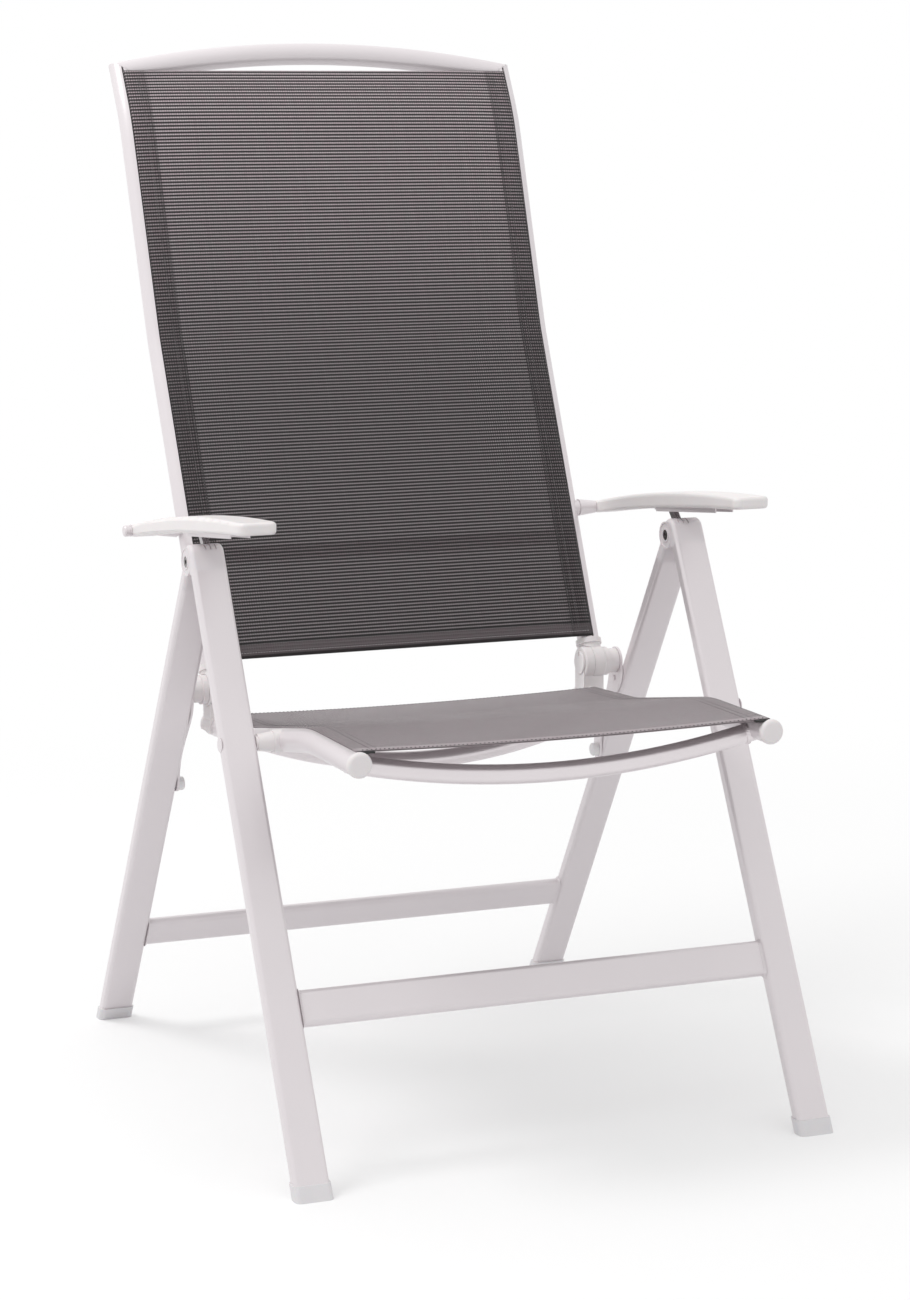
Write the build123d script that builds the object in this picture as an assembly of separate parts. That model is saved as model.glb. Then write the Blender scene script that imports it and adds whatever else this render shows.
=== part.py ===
# Reclining garden armchair with a folding frame, an arched sling back and a sling seat.
# Millimetres, Z up, sitter faces -Y. Working origin: floor under the front feet's front edge;
# every piece is moved at the end so that the origin lies under the middle of the bounding box.
import os
from math import atan2, cos, degrees, hypot, radians, sin, tan
from build123d import *

# Legs: flat oval tube, leaning apart from one pivot under each armrest
leg_x = 276.5
leg_width = 37.0
leg_depth = 15.0
leg_corner = 4.5
leg_wall = 1.5
pivot_y = 338.0
pivot_z = 589.0
front_lean_deg = 27.9
rear_lean_deg = 32.5
front_leg_set = 15.5
crossbar_height = 38.0
crossbar_depth = 12.0
front_bar_z = 167.0
rear_bar_z = 119.0
weld_leg = 2.2
foot_height = 15.0
foot_wall = 1.6
foot_sole = 3.0
foot_plug = 16.0
plug_length = 26.0
plug_gap = 0.1

# Pivot head on the front leg, forked knuckle on the rear leg, and their bolt
barrel_r = 15.0
cheek_thick = 5.0
side_gap = 0.3
round_gap = 0.5
pin_gap = 0.05
head_start = 18.0
head_corner_r = 14.0
fork_start = 34.0
bolt_r = 4.0
bolt_head_r = 5.5
bolt_head_thick = 2.2
recess_r = 6.0
recess_depth = 2.5
rim_width = 1.8
rim_depth = 0.7
rib_width = 1.2
rib_depth = 1.5

# Latch strap and its cross pin
strap_x = 272.5
strap_thick = 7.0
strap_width = 7.6
strap_eye_r = 6.5
strap_top_r = 3.8
strap_bend_run = 5.0
strap_bend_out = 10.5
catch_dy = 12.0
catch_dz = 28.0
catch_pin_r = 3.0
catch_pin_length = 18.0
layer_slit = 0.6
layer_depth = 0.8

# Armrest and the toothed rail in its underside
arm_front_y = 157.0
arm_top_z = 650.0
arm_outer_x = 294.5
arm_front_width = 41.5
arm_rear_width = 30.0
arm_front_thick = 12.7
arm_mid_thick = 17.5
arm_top_radius = 2066.0
arm_top_slope_share = 0.03
arm_edge_r = 4.0
arm_corner_r = 9.0
arm_pivot_y = 540.5
arm_pivot_z = 598.0
arm_end_r = 7.0
rail_rise = 7.5
rail_drop = 3.2
rail_wall = 1.2
rail_side_gap = 0.5
rail_front_run = 320.0
rail_rear_run = 172.0
tooth_depth = 3.0
tooth_pitch = 12.0
tooth_first_run = 196.0
tooth_count = 9
tongue_length = 14.0
screw_head_r = 3.2
screw_head_thick = 1.4
screw_r = 1.6
screw_length = 6.0

# Armrest sleeve and bolt at the back tube
boss_r = 8.5
boss_end_x = 242.8
sleeve_tube_r = 9.75
sleeve_arm_r = 7.0
arm_bolt_r = 3.0
arm_cap_r = 6.25
arm_cap_thick = 8.5
arm_cap_slit = 1.2

# Round sling tube with its edge groove
tube_r = 12.5
tube_wall = 1.5
groove_set = 7.8
groove_shell_r = 4.2
cord_space_r = 3.0
slit_width = 2.2
cord_r = 2.4
cloth_thick = 1.2
cloth_gap = 0.05
tab_thick = 1.0
groove_tilt_deg = 5.0

# Back frame
hinge_y = 462.0
hinge_z = 430.0
back_x = 226.0
back_top_x = 234.0
back_low_slope_share = 0.475
back_mid_slope_share = 0.36
back_top_slope_share = 0.6
back_low_z = 800.0
back_top_z = 1097.0
back_head_height = 52.0
back_top_bend = 250.0
back_tube_start = 21.0
back_rail_rise = 26.0
corner_spare = 30.0
back_cross_z = 566.0
back_cross_r = 9.5
back_cross_set = 4.0
cross_wall = 1.2
weld_r = 1.6
back_cloth_low_z = 455.0
back_cloth_drop = 4.0

# Recliner hinge
disc_r = 18.5
disc_in_x = 212.0
disc_mid_x = 222.0
disc_out_x = 236.5
disc_edge = 1.2
cap_r = 13.25
cap_thick = 2.2
notch_width = 2.0
axle_r = 5.0
step_r = 16.2
step_end_x = 243.0
spacer_r = 14.0
spacer_end_x = 254.7
collar_r = 14.6
collar_length = 6.0
collar_bead = 0.8
neck_r = 13.0
neck_depth = 25.0
saddle_y0 = 446.0
saddle_y1 = 479.0
saddle_r = 14.5
saddle_drop = 5.0

# Folding link
link_in_x = 255.0
link_thick = 2.5
link_top_r = 15.5
link_low_r = 8.5
link_foot_z = 317.0
link_pin_r = 4.0
link_cap_r = 7.5
link_cap_thick = 7.0
rivet_y = 464.6
rivet_z = 409.0
rivet_r = 3.4
rivet_thick = 1.4

# Seat frame
seat_x = 223.0
seat_pivot_z = 414.5
seat_front_y = 14.0
seat_front_z = 428.0
seat_bend_y = 150.0
seat_low_y = 335.0
seat_low_z = 396.0
seat_rear_y = 473.0
seat_rear_z = 388.4
seat_bend_r = 230.0
front_cap_r = 13.0
front_cap_length = 6.0
rear_cap_length = 11.0
front_cross_y = 47.0
front_cross_end_z = 424.0
front_cross_mid_z = 398.0
front_cross_r = 10.0
rear_cross_y = 408.0
rear_cross_z = 344.0
rear_cross_sag = 48.0
rear_cross_r = 10.0
seat_cloth_front_y = 17.0
seat_cloth_rear_y = 445.0
bush_tube_r = 10.5
bush_leg_r = 8.5
bush_ring_r = 12.0
bush_ring = 4.0
bush_bolt_r = 4.0
bush_cap_r = 7.5
bush_cap_thick = 0.8

# Values worked out from the ones above
back_mid_z = back_top_z - back_head_height
back_cloth_top_z = back_top_z - back_cloth_drop
front_tan = tan(radians(front_lean_deg))
rear_tan = tan(radians(rear_lean_deg))
front_cos = cos(radians(front_lean_deg))
front_sin = sin(radians(front_lean_deg))
rear_cos = cos(radians(rear_lean_deg))
rear_sin = sin(radians(rear_lean_deg))
leg_in_x = leg_x - leg_width / 2
leg_out_x = leg_x + leg_width / 2
front_head_y = pivot_y - front_leg_set * front_cos
front_head_z = pivot_z + front_leg_set * front_sin
front_line_y0 = front_head_y - front_head_z * front_tan
seat_pivot_y = front_line_y0 + seat_pivot_z * front_tan
link_foot_y = pivot_y + (pivot_z - link_foot_z) * rear_tan
catch_y = pivot_y + catch_dy
catch_z = pivot_z + catch_dz
arm_tilt = atan2(catch_z - arm_pivot_z, arm_pivot_y - catch_y)
splay = (back_top_x - back_x) / (back_top_z - hinge_z)
splay_angle = atan2(back_top_x - back_x, back_top_z - hinge_z)
arm_pivot_tube_x = back_x + (arm_pivot_z - hinge_z) * splay

front_plane = Plane(origin=(leg_x, front_head_y, front_head_z), x_dir=(1, 0, 0),
                    z_dir=(0, front_sin, front_cos))
rear_plane = Plane(origin=(leg_x, pivot_y, pivot_z), x_dir=(1, 0, 0),
                   z_dir=(0, -rear_sin, rear_cos))
splay_plane = Plane(origin=(back_x, 0, hinge_z), x_dir=(0, 1, 0),
                    z_dir=(cos(splay_angle), 0, -sin(splay_angle)))

nodes = {}


def mirrored(shape):
    # The chair's right-hand piece from its left-hand one
    return mirror(shape, about=Plane.YZ)


def add_pair(name, shape):
    nodes[name + "_left"] = shape
    nodes[name + "_right"] = mirrored(shape)


def side(x):
    # Side-view plane at x: local x runs to the rear, local y up, extrusion outward
    return Plane(origin=(x, 0, 0), x_dir=(0, 1, 0), z_dir=(1, 0, 0))


def side_disc(x0, x1, y, z, r):
    return extrude(side(x0) * Pos(y, z) * Circle(r), x1 - x0)


def leg_side(plane, x):
    # Side-view plane of a leaning leg: local x is the leg's rear normal, local y runs up the leg
    up = plane.z_dir
    return Plane(origin=(x, plane.origin.Y, plane.origin.Z), x_dir=(0, up.Z, -up.Y), z_dir=(1, 0, 0))


def above(shape, z):
    return split(shape, bisect_by=Plane.XY.offset(z), keep=Keep.TOP)


def below(shape, z):
    return split(shape, bisect_by=Plane.XY.offset(z), keep=Keep.BOTTOM)


# Legs, feet and crossbars
def leg_bar(plane, top, grow):
    run = plane.origin.Z / plane.z_dir.Z + leg_width
    section = RectangleRounded(leg_width + 2 * grow, leg_depth + 2 * grow, leg_corner + grow)
    return extrude(plane.offset(-run) * section, run - top)


def leg_tube(plane, top, hole_y, hole_z, hole_r):
    tube = leg_bar(plane, top, 0) - leg_bar(plane, top, -leg_wall)
    tube = above(tube, foot_sole)
    if hole_r > 0:
        tube = tube - side_disc(leg_in_x - leg_wall, leg_out_x + leg_wall, hole_y, hole_z, hole_r)
    return tube


def foot(plane, top):
    shoe = below(above(leg_bar(plane, top, foot_wall), 0), foot_height)
    shoe = shoe - above(leg_bar(plane, top, 0), foot_sole)
    plug = below(above(leg_bar(plane, top, -leg_wall - plug_gap), foot_sole), foot_height + foot_plug)
    return shoe + plug


def crossbar(plane, z):
    up = plane.z_dir
    y = plane.origin.Y + (z - plane.origin.Z) * up.Y / up.Z
    face = Plane(origin=(-leg_in_x, y, z), x_dir=(0, up.Z, -up.Y), z_dir=(1, 0, 0))
    outer = RectangleRounded(crossbar_depth, crossbar_height, crossbar_depth * 0.49)
    inner = RectangleRounded(crossbar_depth - 2 * leg_wall, crossbar_height - 2 * leg_wall,
                             (crossbar_depth - 2 * leg_wall) * 0.49)
    bar = extrude(face * outer, 2 * leg_in_x)
    wide = RectangleRounded(crossbar_depth + 2 * weld_leg, crossbar_height + 2 * weld_leg,
                            (crossbar_depth + 2 * weld_leg) * 0.49)
    bead = extrude(face * wide, weld_leg, taper=42)
    return bar + bead + mirrored(bead) - extrude(face * inner, 2 * leg_in_x)


# Front leg head: the leg's face runs on over a barrel that the rear leg's fork embraces
def leg_head():
    face = leg_side(front_plane, leg_in_x)
    front_u = -leg_depth / 2
    shoulder_t = barrel_r - head_corner_r
    crown_u = front_u + head_corner_r
    mid = head_corner_r * cos(radians(45))
    outline = Line((front_u, -head_start), (front_u, shoulder_t))
    outline += ThreePointArc((front_u, shoulder_t), (crown_u - mid, shoulder_t + mid), (crown_u, barrel_r))
    outline += Polyline((crown_u, barrel_r), (front_leg_set, barrel_r), (front_leg_set, -barrel_r * 0.6),
                        (leg_depth / 2, -barrel_r * 0.84), (leg_depth / 2, -head_start),
                        (front_u, -head_start))
    body = extrude(face * make_face(outline), leg_width)
    rounded = [e for e in body.edges() if along_leg_edge(e)]
    body = fillet(rounded, leg_corner * 0.97)
    for x in (leg_in_x, leg_out_x - cheek_thick - side_gap):
        body = body - side_disc(x, x + cheek_thick + side_gap, pivot_y, pivot_z, barrel_r + round_gap)
    barrel_x = leg_in_x + cheek_thick + side_gap
    body = body + side_disc(barrel_x, 2 * leg_x - barrel_x, pivot_y, pivot_z, barrel_r)
    body = body - strap_slot() - crown_slits(crown_u, shoulder_t)
    section = RectangleRounded(leg_width - 2 * leg_wall - 2 * plug_gap,
                               leg_depth - 2 * leg_wall - 2 * plug_gap, leg_corner - leg_wall)
    body = body + extrude(front_plane.offset(-head_start) * section, -plug_length)
    return body - side_disc(leg_in_x, leg_out_x, pivot_y, pivot_z, bolt_r + pin_gap)


def along_leg_edge(edge):
    # True for the head's long outer edges where its side faces meet the front face and the crown
    mid = front_plane.to_local_coords(edge @ 0.5)
    on_side = abs(abs(mid.X) - leg_width / 2) < leg_corner * 0.05
    on_front = mid.Y < -leg_depth * 0.4
    on_crown = mid.Z > 0 and mid.Y < front_leg_set * 0.9
    return on_side and (on_front or on_crown)


def strap_slot():
    # Opening for the strap from its upright place down to its folded one behind the barrel
    half = strap_thick / 2 + side_gap
    face = leg_side(front_plane, strap_x - half)
    eye = strap_eye_r + round_gap
    wide = 2 * barrel_r
    slot = Circle(eye) + Pos(wide / 2 - eye, wide / 2 - eye * 1.6) * Rectangle(wide, wide)
    ahead = strap_bend_out + strap_width
    slot = slot + Pos(-ahead / 2, wide / 2 - eye * 0.8) * Rectangle(ahead * 0.8, wide)
    return extrude(face * Pos(front_leg_set, 0) * slot, 2 * half)


def crown_slits(crown_u, shoulder_t):
    # Three short slits running forward and down over the rounded front corner
    reach = 2 * head_corner_r
    wedge = make_face(Polyline((0, 0), (0, reach), (-reach, reach), (-reach, head_corner_r * 0.5), (0, 0)))
    band = (Circle(head_corner_r + rib_depth) - Circle(head_corner_r - rib_depth)) & wedge
    slits = []
    for step in (-1, 0, 1):
        x = strap_x + step * strap_thick * 0.8 - rib_width / 2
        face = leg_side(front_plane, x)
        slits.append(extrude(face * Pos(crown_u, shoulder_t) * band, rib_width))
    return slits


# Rear leg knuckle: two cheeks on a solid root that plugs into the leg tube
def rear_knuckle():
    root = extrude(rear_plane.offset(-fork_start) * RectangleRounded(leg_width, leg_depth, leg_corner),
                   fork_start)
    root = root + side_disc(leg_in_x, leg_out_x, pivot_y, pivot_z, barrel_r)
    gap_in = leg_in_x + cheek_thick
    gap_out = leg_out_x - cheek_thick
    root = root - side_disc(gap_in, gap_out, pivot_y, pivot_z, barrel_r + round_gap)
    for x, sign in ((leg_in_x, 1), (leg_out_x, -1)):
        recess = side_disc(min(x, x + sign * recess_depth), max(x, x + sign * recess_depth),
                           pivot_y, pivot_z, recess_r)
        ring = side_disc(min(x, x + sign * rim_depth), max(x, x + sign * rim_depth),
                         pivot_y, pivot_z, barrel_r - rim_width)
        ring = ring - side_disc(leg_in_x, leg_out_x, pivot_y, pivot_z, recess_r + rim_width)
        root = root - recess - ring
    section = RectangleRounded(leg_width - 2 * leg_wall - 2 * plug_gap,
                               leg_depth - 2 * leg_wall - 2 * plug_gap, leg_corner - leg_wall)
    root = root + extrude(rear_plane.offset(-fork_start) * section, -plug_length)
    return root - side_disc(leg_in_x, leg_out_x, pivot_y, pivot_z, bolt_r + pin_gap)


def socket_head(x, sign, y, z, r, thick):
    head = side_disc(min(x, x + sign * thick), max(x, x + sign * thick), y, z, r)
    hexagon = RegularPolygon(r * 0.5, 6)
    hole = extrude(side(x) * Pos(y, z) * hexagon, sign * thick * 0.7)
    return head - hole


def leg_pivot_bolt():
    shaft = side_disc(leg_in_x + recess_depth, leg_out_x - recess_depth, pivot_y, pivot_z, bolt_r)
    gap = recess_depth - bolt_head_thick - pin_gap
    inner = socket_head(leg_in_x + gap, 1, pivot_y, pivot_z, bolt_head_r, bolt_head_thick)
    outer = socket_head(leg_out_x - gap, -1, pivot_y, pivot_z, bolt_head_r, bolt_head_thick)
    shaft = shaft + side_disc(leg_in_x + gap + bolt_head_thick * 0.8, leg_in_x + recess_depth,
                              pivot_y, pivot_z, bolt_r)
    shaft = shaft + side_disc(leg_out_x - recess_depth, leg_out_x - gap - bolt_head_thick * 0.8,
                              pivot_y, pivot_z, bolt_r)
    return shaft + inner + outer


def seat_pivot_bolt():
    shaft = side_disc(seat_x + tube_r + side_gap, leg_out_x, seat_pivot_y, seat_pivot_z, bush_bolt_r)
    cap = side_disc(leg_out_x, leg_out_x + bush_cap_thick, seat_pivot_y, seat_pivot_z, bush_cap_r)
    rim = cap.faces().sort_by(Axis.X)[-1].edges()
    return shaft + fillet(rim, bush_cap_thick * 0.6)


# Latch strap: layered, bent flat metal on the leg pivot, its cross pin in the armrest's rail
def catch_plane(x):
    direction = (0, catch_dy, catch_dz)
    return Plane(origin=(x, pivot_y, pivot_z), x_dir=direction, z_dir=(1, 0, 0))


def rounded_plate(start, start_r, end, end_r):
    return make_hull((Pos(*start) * Circle(start_r) + Pos(*end) * Circle(end_r)).edges())


def latch_strap():
    bend = (strap_bend_run, strap_bend_out)
    catch = (hypot(catch_dy, catch_dz), 0)
    face = catch_plane(strap_x - strap_thick / 2)
    shape = rounded_plate((0, 0), strap_eye_r, bend, strap_width / 2)
    shape = shape + rounded_plate(bend, strap_width / 2, catch, strap_top_r)
    body = extrude(face * shape, strap_thick)
    body = body - side_disc(leg_in_x, leg_out_x, pivot_y, pivot_z, bolt_r + pin_gap)
    body = body - side_disc(leg_in_x, leg_out_x, catch_y, catch_z, catch_pin_r + pin_gap)
    length = hypot(catch[0] - bend[0], bend[1])
    turn = Rot(0, 0, degrees(atan2(-bend[1], catch[0] - bend[0])))
    middle = Pos((bend[0] + catch[0]) / 2, bend[1] / 2) * turn
    for step in (-1, 1):
        x = strap_x + step * strap_thick / 6 - layer_slit / 2
        for edge in (-1, 1):
            cut = middle * Pos(0, edge * strap_width / 2) * Rectangle(length * 0.7, 2 * layer_depth)
            body = body - extrude(catch_plane(x) * cut, layer_slit)
    return body


def latch_pin():
    half = catch_pin_length / 2
    pin = side_disc(strap_x - half, strap_x + half, catch_y, catch_z, catch_pin_r)
    ends = [e for e in pin.edges() if e.geom_type == GeomType.CIRCLE]
    return chamfer(ends, catch_pin_r * 0.2)


# Armrest: a plastic arm, arched in side view and narrowing to the rear
def arm_plane(x):
    # Origin at the rear pivot, local x rearward along the rail line, local y up from it
    return Plane(origin=(x, arm_pivot_y, arm_pivot_z), x_dir=(0, cos(arm_tilt), -sin(arm_tilt)),
                 z_dir=(1, 0, 0))


def arm_top(run_share):
    y = arm_front_y + (arm_pivot_y - arm_front_y) * run_share
    s = y - arm_front_y
    return (y, arm_top_z - arm_top_slope_share * s - s * s / (2 * arm_top_radius))


def arm_low(run_share):
    y, z = arm_top(run_share)
    ends = arm_front_thick + (2 * arm_end_r - arm_front_thick) * run_share
    middle = arm_mid_thick - (arm_front_thick + 2 * arm_end_r) / 2
    return (y, z - ends - middle * 4 * run_share * (1 - run_share))


def armrest():
    rear_top = (arm_pivot_y, arm_pivot_z + arm_end_r)
    rear_low = (arm_pivot_y, arm_pivot_z - arm_end_r)
    top = ThreePointArc(arm_top(0), arm_top(0.5), rear_top)
    end = ThreePointArc(rear_top, (arm_pivot_y + arm_end_r, arm_pivot_z), rear_low)
    low = ThreePointArc(rear_low, arm_low(0.5), arm_low(0))
    front = Line(arm_low(0), arm_top(0))
    x0 = arm_outer_x - arm_front_width
    blade = extrude(side(x0) * make_face([top, end, low, front]), arm_front_width)
    rear_in = arm_outer_x - arm_rear_width
    taper_y = arm_pivot_y - 3 * arm_end_r
    plan = Polyline((x0, arm_front_y), (arm_outer_x, arm_front_y), (arm_outer_x, arm_pivot_y + 2 * arm_end_r),
                    (rear_in, arm_pivot_y + 2 * arm_end_r), (rear_in, taper_y), (x0, arm_front_y))
    plan = make_face(plan)
    plan = fillet(plan.vertices().sort_by(Axis.Y)[:2], arm_corner_r)
    block = extrude(Plane.XY.offset(arm_pivot_z - arm_end_r) * plan,
                    arm_top_z - arm_pivot_z + 2 * arm_end_r)
    arm = blade & block
    arm = soften(arm)
    pocket = rail_box(rail_wall + cloth_gap)
    arm = arm - pocket
    return arm - side_disc(x0, arm_outer_x, arm_pivot_y, arm_pivot_z, arm_bolt_r + pin_gap)


def soften(arm):
    # Round the long top and bottom edges and the front end; the rear boss keeps its own arc
    chosen = []
    for edge in arm.edges():
        rise = abs((edge @ 1).Z - (edge @ 0).Z)
        if (edge @ 0.5).Y < arm_pivot_y - arm_end_r and rise < edge.length / 2:
            chosen.append(edge)
    return fillet(chosen, arm_edge_r)


def rail_box(grow):
    half = catch_pin_length / 2 + rail_side_gap + grow
    face = arm_plane(strap_x - half)
    run = rail_front_run - rail_rear_run + 2 * cloth_gap
    height = rail_rise + tooth_depth + grow + 2 * arm_end_r
    centre = Pos(-(rail_front_run + rail_rear_run) / 2, (rail_rise + tooth_depth + grow) - height / 2)
    return extrude(face * centre * Rectangle(run, height), 2 * half)


def latch_rail():
    # Inverted channel with a row of round notches above the pin's path
    inner = catch_pin_length / 2 + rail_side_gap
    outer = inner + rail_wall
    run = rail_front_run - rail_rear_run
    mid = -(rail_front_run + rail_rear_run) / 2
    top = rail_rise + tooth_depth
    high = top + rail_wall + rail_drop
    shell = extrude(arm_plane(strap_x - outer) * Pos(mid, top + rail_wall - high / 2) * Rectangle(run, high),
                    2 * outer)
    space = extrude(arm_plane(strap_x - inner) * Pos(mid, rail_rise - high / 2) * Rectangle(2 * run, high),
                    2 * inner)
    rail = shell - space
    for index in range(tooth_count):
        centre = Pos(-(tooth_first_run + index * tooth_pitch), rail_rise)
        rail = rail - extrude(arm_plane(strap_x - inner) * centre * Circle(tooth_depth * 0.9), 2 * inner)
    tongue_mid = -rail_rear_run + tongue_length / 2
    floor = arm_floor(rail_rear_run - tongue_length / 2)
    tongue = extrude(arm_plane(strap_x - inner * 0.6)
                     * Pos(tongue_mid - rail_wall, floor - rail_wall / 2)
                     * Rectangle(tongue_length + 2 * rail_wall, rail_wall), inner * 1.2)
    stop_high = top - floor + 2 * rail_wall
    stop = extrude(arm_plane(strap_x - inner) * Pos(-rail_rear_run - rail_wall / 2, top - stop_high / 2)
                   * Rectangle(rail_wall, stop_high), 2 * inner)
    return rail + stop + tongue


def arm_floor(run):
    # Height of the armrest's underside above the rail line at a distance from the rear pivot
    y = arm_pivot_y - run * cos(arm_tilt)
    share = (y - arm_front_y) / (arm_pivot_y - arm_front_y)
    z = arm_low(share)[1]
    line_z = arm_pivot_z + run * sin(arm_tilt)
    return (z - line_z) * cos(arm_tilt) - cloth_gap * 4


def rail_screw():
    run = rail_rear_run - tongue_length * 0.6
    floor = arm_floor(rail_rear_run - tongue_length / 2)
    base = Plane(origin=(strap_x, arm_pivot_y - run * cos(arm_tilt) + floor * sin(arm_tilt),
                         arm_pivot_z + run * sin(arm_tilt) + floor * cos(arm_tilt)),
                 x_dir=(1, 0, 0), z_dir=(0, sin(arm_tilt), cos(arm_tilt)))
    head = extrude(base.offset(-rail_wall - screw_head_thick) * Circle(screw_head_r), screw_head_thick)
    slot = extrude(base.offset(-rail_wall - screw_head_thick)
                   * Rectangle(screw_head_r * 1.5, screw_head_thick * 0.6), screw_head_thick * 0.5)
    shaft = extrude(base.offset(-rail_wall) * Circle(screw_r), screw_length)
    return head - slot + shaft


# Armrest pivot on the back: a tapered sleeve and a headed bolt
def arm_sleeve():
    x0 = boss_end_x + side_gap
    x1 = arm_outer_x - arm_rear_width - side_gap
    cone = loft([side(x0) * Pos(arm_pivot_y, arm_pivot_z) * Circle(sleeve_tube_r),
                 side(x1) * Pos(arm_pivot_y, arm_pivot_z) * Circle(sleeve_arm_r)])
    return cone - side_disc(x0, x1, arm_pivot_y, arm_pivot_z, arm_bolt_r)


def armrest_bolt():
    shaft = side_disc(boss_end_x - 2 * arm_bolt_r, arm_outer_x + side_gap, arm_pivot_y, arm_pivot_z,
                      arm_bolt_r)
    x = arm_outer_x + side_gap
    cap = side_disc(x, x + arm_cap_thick, arm_pivot_y, arm_pivot_z, arm_cap_r)
    cap = fillet(cap.faces().sort_by(Axis.X)[-1].edges(), arm_cap_r * 0.35)
    ring = side_disc(x + arm_cap_slit, x + 2 * arm_cap_slit, arm_pivot_y, arm_pivot_z, arm_cap_r)
    ring = ring - side_disc(x, x + arm_cap_thick, arm_pivot_y, arm_pivot_z, arm_cap_r - arm_cap_slit / 2)
    return shaft + cap - ring


# Sling tube: round, with a cord channel behind a slit on its cloth side
def tube_section(start):
    turn = Rot(0, 0, groove_tilt_deg)
    wall = Circle(tube_r) - Circle(tube_r - tube_wall)
    channel = turn * Pos(0, -groove_set) * Circle(groove_shell_r)
    space = turn * Pos(0, -groove_set) * Circle(cord_space_r)
    slit = turn * Pos(0, -tube_r) * Rectangle(slit_width, 2 * (tube_r - groove_set) - cord_space_r)
    return start * (wall + channel - space - slit)


def tube_void(start):
    # What must stay open inside the tube when a boss or a weld is added to it
    return start * Circle(tube_r - tube_wall)


def path_start(path, normal):
    # Plane across the path's first point: local x outward, local -y on the cloth side
    return Plane(origin=path @ 0, x_dir=normal, z_dir=path % 0)


def cord_section(start):
    return start * Rot(0, 0, groove_tilt_deg) * Pos(0, -groove_set) * Circle(cord_r)


def tab_section(start):
    turn = Rot(0, 0, groove_tilt_deg)
    outer = tube_r + cloth_gap + cloth_thick * 0.9
    inner = groove_set + cord_r + cloth_gap
    return start * turn * Pos(0, -(outer + inner) / 2) * Rectangle(tab_thick, outer - inner)


def back_points(z0, z1):
    # Side-view corner points of the back's centre line between two heights
    y_low = hinge_y + (back_low_z - hinge_z) * back_low_slope_share
    y_mid = y_low + (back_mid_z - back_low_z) * back_mid_slope_share
    start_y = hinge_y + (z0 - hinge_z) * back_low_slope_share
    end_y = y_mid + (z1 - back_mid_z) * back_top_slope_share
    return [(start_y, z0), (y_low, back_low_z), (y_mid, back_mid_z), (end_y, z1)]


def back_path(plane, z0, z1, drop):
    points = [(y, z - drop) for y, z in back_points(z0, z1)]
    return plane * FilletPolyline(*points, radius=back_top_bend)


def tube_start_z():
    return hinge_z + back_tube_start * cos(atan2(back_low_slope_share, 1))


def corner_point():
    y = back_points(hinge_z, back_top_z)[-1][0]
    return Vector(back_top_x, y, back_top_z)


def rail_arc():
    # The arched top rail's centre line in the plane of the back's top slope
    corner = corner_point()
    up = Vector(0, back_top_slope_share, 1).normalized()
    radius = (corner.X ** 2 + back_rail_rise ** 2) / (2 * back_rail_rise)
    centre = Vector(0, corner.Y, corner.Z) + up * (back_rail_rise - radius)
    reach = degrees(atan2(corner.X, radius - back_rail_rise)) + degrees(corner_spare / radius)
    plane = Plane(origin=centre, x_dir=(1, 0, 0), z_dir=Vector(1, 0, 0).cross(up))
    return CenterArc((0, 0), radius, 90 - reach, 2 * reach), plane


def mitre_plane():
    # Plane through the corner that halves the angle between tube and rail
    corner = corner_point()
    up = Vector(-sin(splay_angle), 0, 0) + Vector(0, back_top_slope_share, 1).normalized()
    down = -up.normalized()
    radius = (corner.X ** 2 + back_rail_rise ** 2) / (2 * back_rail_rise)
    dip = atan2(corner.X, radius - back_rail_rise)
    rise = Vector(0, back_top_slope_share, 1).normalized()
    inward = Vector(-cos(dip), 0, 0) + rise * sin(dip)
    return Plane(origin=corner, z_dir=(inward - down))


def back_tube():
    z_end = back_top_z + corner_spare
    path = back_path(splay_plane, tube_start_z(), z_end, hinge_z)
    start = path_start(path, splay_plane.z_dir)
    tube = sweep(tube_section(start), path=path)
    tube = split(tube, bisect_by=mitre_plane(), keep=Keep.BOTTOM)
    boss = side_disc(arm_pivot_tube_x, boss_end_x, arm_pivot_y, arm_pivot_z, boss_r)
    core = sweep(tube_void(start), path=path)
    bore = side_disc(arm_pivot_tube_x, boss_end_x, arm_pivot_y, arm_pivot_z, arm_bolt_r + pin_gap)
    return tube + (boss - core) - bore


def back_top_rail():
    arc, plane = rail_arc()
    path = plane * arc
    outward = plane.z_dir
    if outward.Y > 0:
        outward = -outward
    tangent = path % 0
    start = Plane(origin=path @ 0, x_dir=tangent.cross(outward), z_dir=tangent)
    rail = sweep(tube_section(start), path=path)
    cut = mitre_plane()
    rail = split(rail, bisect_by=cut, keep=Keep.TOP)
    other = Plane(origin=(-cut.origin.X, cut.origin.Y, cut.origin.Z),
                  z_dir=(-cut.z_dir.X, cut.z_dir.Y, cut.z_dir.Z))
    return split(rail, bisect_by=other, keep=Keep.TOP)


def back_cross_tube():
    y = hinge_y + (back_cross_z - hinge_z) * back_low_slope_share + back_cross_set
    x = back_x + (back_cross_z - hinge_z) * splay
    tube = side_disc(-x, x, y, back_cross_z, back_cross_r) - side_disc(-x, x, y, back_cross_z,
                                                                     back_cross_r - cross_wall)
    weld = side_disc(x - tube_r - weld_r, x, y, back_cross_z, back_cross_r + weld_r)
    weld = weld - side_disc(0, x, y, back_cross_z, back_cross_r - cross_wall)
    path = back_path(splay_plane, tube_start_z(), back_top_z, hinge_z)
    core = sweep(path_start(path, splay_plane.z_dir) * Circle(tube_r), path=path)
    whole = tube + weld + mirrored(weld)
    return whole - core - mirrored(core)


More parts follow.
